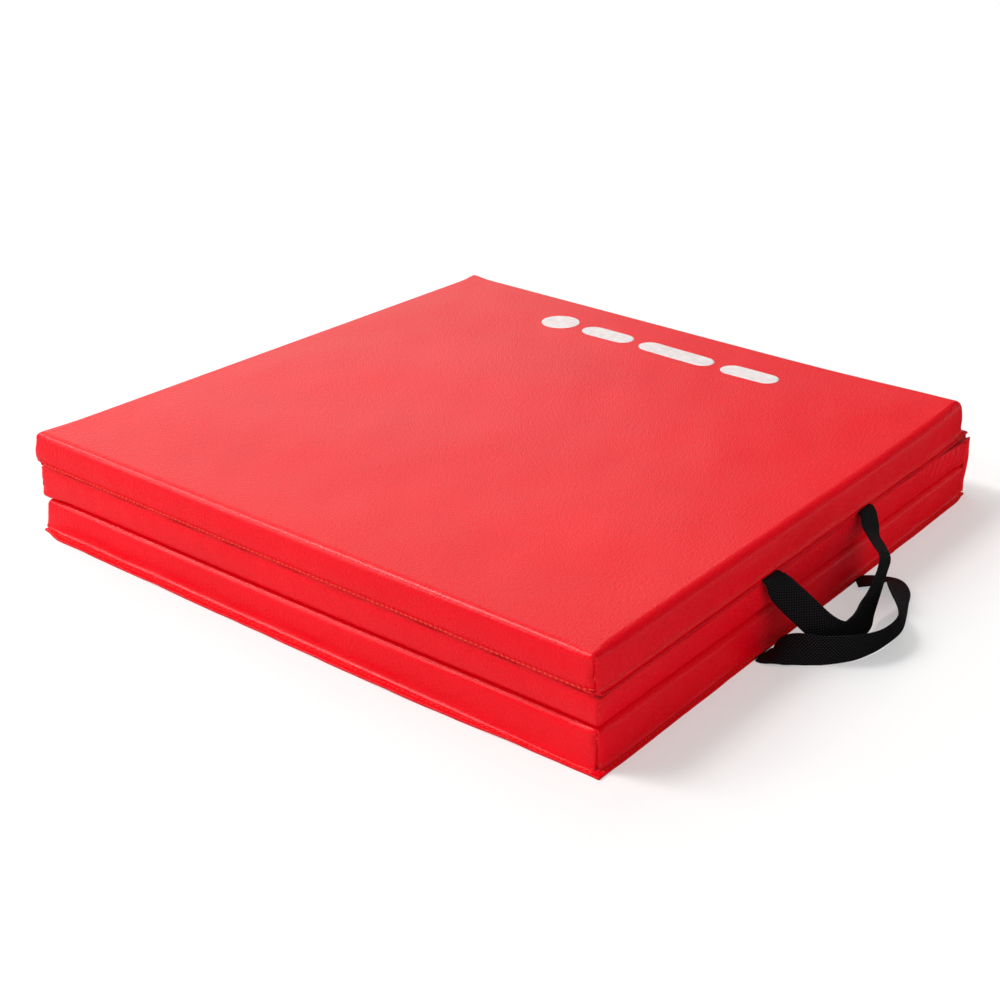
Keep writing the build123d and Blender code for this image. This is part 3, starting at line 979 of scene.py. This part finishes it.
def print_ink():
    """Screen print: flat, a little uneven, the vinyl's grain showing through."""
    material, tree, shader = new_material("print_white", (0.86, 0.80, 0.80), 0.45, 0.4)
    grain = placed(tree, "TexVoronoi", feature="SMOOTH_F1", Scale=620.0)
    uneven = placed(tree, "TexNoise", Scale=160.0, Detail=3.0)
    ramp = colour_between(tree, uneven, "Fac", 0.3, 0.7, (0.80, 0.70, 0.70), (0.90, 0.85, 0.85))
    link(tree, ramp, "Color", shader, "Base Color")
    bumped(tree, shader, grain, "Distance", 0.2, 0.0003)
    return material


RED = vinyl("vinyl_red", (0.84, 0.001, 0.010), (0.90, 0.0012, 0.011), 0.30, 0.09)
RED_BASE = vinyl("vinyl_base", (0.66, 0.002, 0.012), (0.72, 0.002, 0.013), 0.5, 0.2)
THREAD_RED = thread("thread_red", (1.0, 0.055, 0.035))
THREAD_BLACK = thread("thread_black", (0.010, 0.009, 0.011))
WEBBING = webbing()
FOAM = plain_foam()
PRINT = print_ink()
BY_SLOT = {
    "vinyl_red": RED, "vinyl_base": RED_BASE, "foam": FOAM, "thread_red": THREAD_RED,
    "thread_black": THREAD_BLACK, "webbing_black": WEBBING, "print_white": PRINT,
}


def declare(piece, body, slot_name, *nodes):
    """Puts a piece on its body and hides the CAD nodes it stands for; the material slot is not used."""
    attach(piece, body)
    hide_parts(*nodes)


def declare_fold(piece, lower, upper, bend, *nodes):
    """Fixes a red piece's place in its mesh and hides the CAD nodes it stands for; it rides on no body,
    and the two bodies and the two bend points are not used.
    """
    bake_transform(piece)
    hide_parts(*nodes)


# ---- build the panels ----
SEAM_RINGS = slice(4, -9)   # the rings of a cover from its rounded edge to its foot
SEAM_SINK = 0.0012          # the corner stitches lie in by this share of their distance out

for panel in PANELS:
    body = f"{panel}_panel"
    cover, lines, skin_rings, count = build_cover(panel, RED)
    if panel == "top":
        top_lines, top_count = lines, count
    declare(cover, body, "vinyl_red", f"{panel}_face_cover")

    base_sheet = build_base(panel, RED_BASE)
    declare(base_sheet, body, "vinyl_base", f"{panel}_base_sheet")

    declare(build_foam(panel, FOAM), body, "foam", f"{panel}_foam_core")

    up = np.array([0, 0, 1.0 if FACE_UP[panel] else -1.0])
    rows = []
    for side in range(4):
        if side_welts(panel)[side] < STITCHED_WELT[panel]:
            continue
        lip = panel == "top" and side == 0
        line = side_line(lines["fold" if lip else "row"], count, side)
        points, tangents = stitch_places(line, 0.004)
        normal = np.array([0, -0.85, 0.5]) if lip else up
        rows.append((points, tangents, np.tile(normal, (len(points), 1))))
    stitches = stitch_mesh(f"{panel}_welt_stitches", rows, THREAD_RED, seed=PANELS.index(panel) + 1)
    declare(stitches, body, "thread_red", f"{panel}_welt_stitching")

    # Upright seams: small stitches deep in the pinched line at each corner, edge to foot.
    rows = []
    for k in range(4):
        line = np.array([settle(panel, r)[k * count] for r in skin_rings[SEAM_RINGS]])
        if not FACE_UP[panel]:
            line = line[::-1]
        points, tangents = stitch_places(line, 0.001)
        outward = points - np.array([*panel_frame(panel)[0], points[0, 2]])
        outward[:, 2] = 0
        rows.append((points - outward * SEAM_SINK, tangents, outward))
    seams = stitch_mesh(f"{panel}_corner_stitches", rows, THREAD_RED, seed=PANELS.index(panel) + 11)
    declare(seams, body, "thread_red", f"{panel}_corner_stitching")

# ---- folds ----
# Two points for each fold's vinyl, one on each panel; the vinyl is not bent between them.
LOWER_BEND = ((0.303, 0, 0.0245), (0.303, 0, 0.036))
UPPER_BEND = ((-0.3016, 0, 0.0592), (-0.3016, 0, 0.0623))

lower_wall = build_lower_fold_wall(RED)
declare_fold(lower_wall, "bottom_panel", "middle_panel", LOWER_BEND,
             "lower_fold_wall_bottom", "lower_fold_wall_middle")

declare_fold(build_end_flanges(RED), "bottom_panel", "middle_panel", LOWER_BEND,
             "lower_fold_end_flanges_bottom", "lower_fold_end_flanges_middle")
declare_fold(build_upper_fold_strip(RED), "middle_panel", "top_panel", UPPER_BEND,
             "upper_fold_strip_middle", "upper_fold_strip_top")

fold_line = side_line(top_lines["fold"], top_count, 3) - np.array([FOLD_STITCH_OUT, 0, 0])
points, tangents = stitch_places(fold_line, 0.004)
rows = [(points, tangents, np.tile((-1.0, 0, 0.1), (len(points), 1)))]
fold_stitches = stitch_mesh("upper_fold_stitches", rows, THREAD_RED, radius=FOLD_STITCH_R, seed=21)
declare(fold_stitches, "top_panel", "thread_red", "upper_fold_stitching")

# ---- printed mark ----
declare(build_mark(PRINT), "top_panel", "print_white", "printed_mark")

# ---- straps ----
for which, route in (("upper", UPPER_ROUTE), ("lower", LOWER_ROUTE)):
    strap = build_strap(f"{which}_carry_strap", route, WEBBING, seed=1 if which == "upper" else 4)
    declare(strap, f"{which}_handle", "webbing_black", f"{which}_handle_strap")

# The tabs and bartacks are shown as they are in the CAD.
slots = {part["node"]: part["material_slot"] for part in frame["record"]["subparts"]}
for node_name, item in frame["nodes"].items():
    if item.hide_render:
        continue
    item.data.materials.clear()
    item.data.materials.append(BY_SLOT[slots[node_name]])

# ---- studio ----
scene = bpy.context.scene
scene.view_settings.view_transform = "Standard"

bpy.ops.mesh.primitive_plane_add(size=60, location=(0, 0, 0))
floor = bpy.context.object
floor.name = "floor"
floor_material, _, floor_shader = new_material("studio_floor", (0.62, 0.62, 0.62), 0.85, 0.1)
floor_shader.inputs["Emission Color"].default_value = (1, 1, 1, 1)
floor_shader.inputs["Emission Strength"].default_value = 0.40
floor.data.materials.append(floor_material)
floor.visible_glossy = False

world = bpy.data.worlds.new("studio")
scene.world = world
world.use_nodes = True
sky = world.node_tree
background = sky.nodes["Background"]
background.inputs["Strength"].default_value = 1.0
MIX_A, MIX_B, MIX_RESULT = 6, 7, 2          # the colour sockets of a Mix node
direction = node(sky, "TexCoord")
parts = node(sky, "SeparateXYZ")
link(sky, direction, "Generated", parts, "Vector")
side_on = node(sky, "Math", operation="SUBTRACT")
link(sky, parts, "Y", side_on, 0)
link(sky, parts, "X", side_on, 1)
# Below the horizon only reflections see the world: a pale card to the left, black to the right.
card = colour_between(sky, side_on, "Value", 0.0, 0.9, (0.0, 0.0, 0.0), (0.55, 0.55, 0.55))
# A pale band stands along the horizon, behind the floor's far edge.
band = from_range(sky, parts, "Z", -0.09, -0.05)
horizon = node(sky, "Mix", data_type="RGBA")
horizon.inputs[MIX_B].default_value = (0.75, 0.75, 0.75, 1)
link(sky, band, "Result", horizon, 0)
link(sky, card, "Color", horizon, MIX_A)
rise = from_range(sky, parts, "Z", 0.05, 0.12)
blend = node(sky, "Mix", data_type="RGBA")
link(sky, rise, "Result", blend, 0)
link(sky, horizon, MIX_RESULT, blend, MIX_A)
# Above it a dome, palest straight ahead and behind (Y near X), dark to the left and right.
dome = colour_between(sky, side_on, "Value", 0.0, 1.0, (0.05, 0.05, 0.05), (0.11, 0.11, 0.11))
dome.color_ramp.elements.new(0.46).color = (0.42, 0.42, 0.41, 1)
dome_side = from_range(sky, side_on, "Value", -1.1, 1.4)
link(sky, dome_side, "Result", dome, "Fac")
link(sky, dome, "Color", blend, MIX_B)
link(sky, blend, MIX_RESULT, background, "Color")


def add_lamp(name, kind, energy, towards):
    """A lamp whose light comes from a direction; returns it and its data."""
    data = bpy.data.lights.new(name, kind)
    data.energy = energy
    lamp = bpy.data.objects.new(name, data)
    scene.collection.objects.link(lamp)
    lamp.rotation_euler = Vector(towards).to_track_quat("Z", "Y").to_euler()
    return lamp, data


def soft_sun(name, towards, irradiance, spread, colour=(1, 1, 1)):
    """A broad distant light, its spread in degrees, so that the floor is lit evenly."""
    _, data = add_lamp(name, "SUN", irradiance, towards)
    data.color = colour
    data.angle = math.radians(spread)


soft_sun("behind", (0.47, 0.68, 0.56), 0.70, 50, (1.0, 0.97, 0.90))
soft_sun("left", (-0.15, 0.56, 0.815), 0.50, 13)
# Two long strip lights on the left, each a row of small ones, for the gleam along the edges.
for k, y in enumerate((0.48, 0.57, 0.66, 0.76)):
    level = math.sqrt(1 - y * y)
    soft_sun(f"high_strip_{k}", (-0.358 * level, y, 0.934 * level), 0.36, 9)
for k, y in enumerate((0.55, 0.70)):
    level = math.sqrt(1 - y * y)
    soft_sun(f"low_strip_{k}", (-0.725 * level, y, 0.688 * level), 0.17, 8)
soft_sun("front", (-0.12, -0.88, 0.45), 0.60, 60)

near_lamp, near_light = add_lamp("near_left", "AREA", 3.1, (-0.75, 0.55, 0.50))
near_light.size = 0.6
near_lamp.location = (-1.0, 0.80, 0.55)


def look(place, yaw, pitch, roll):
    """A camera matrix: yaw from +Y towards +X, pitch downwards, roll anticlockwise, in degrees."""
    y, p, r = (math.radians(v) for v in (yaw, pitch, roll))
    ahead = Vector((math.sin(y) * math.cos(p), math.cos(y) * math.cos(p), -math.sin(p)))
    right = Vector((math.cos(y), -math.sin(y), 0))
    up = right.cross(ahead)
    right, up = right * math.cos(r) + up * math.sin(r), up * math.cos(r) - right * math.sin(r)
    matrix = Matrix((right, up, -ahead)).transposed().to_4x4()
    matrix.translation = place
    return matrix


CAMERA_PLACE = (-1.0874, -0.8296, 0.6538)
CAMERA_ANGLES = (52.005, 25.244, 0.855)     # yaw, pitch, roll
CAMERA_LENS = 58.93

camera_data = bpy.data.cameras.new("camera")
camera_data.sensor_width = 36
camera_data.lens = CAMERA_LENS
camera = bpy.data.objects.new("camera", camera_data)
scene.collection.objects.link(camera)
camera.matrix_world = look(CAMERA_PLACE, *CAMERA_ANGLES)
scene.camera = camera
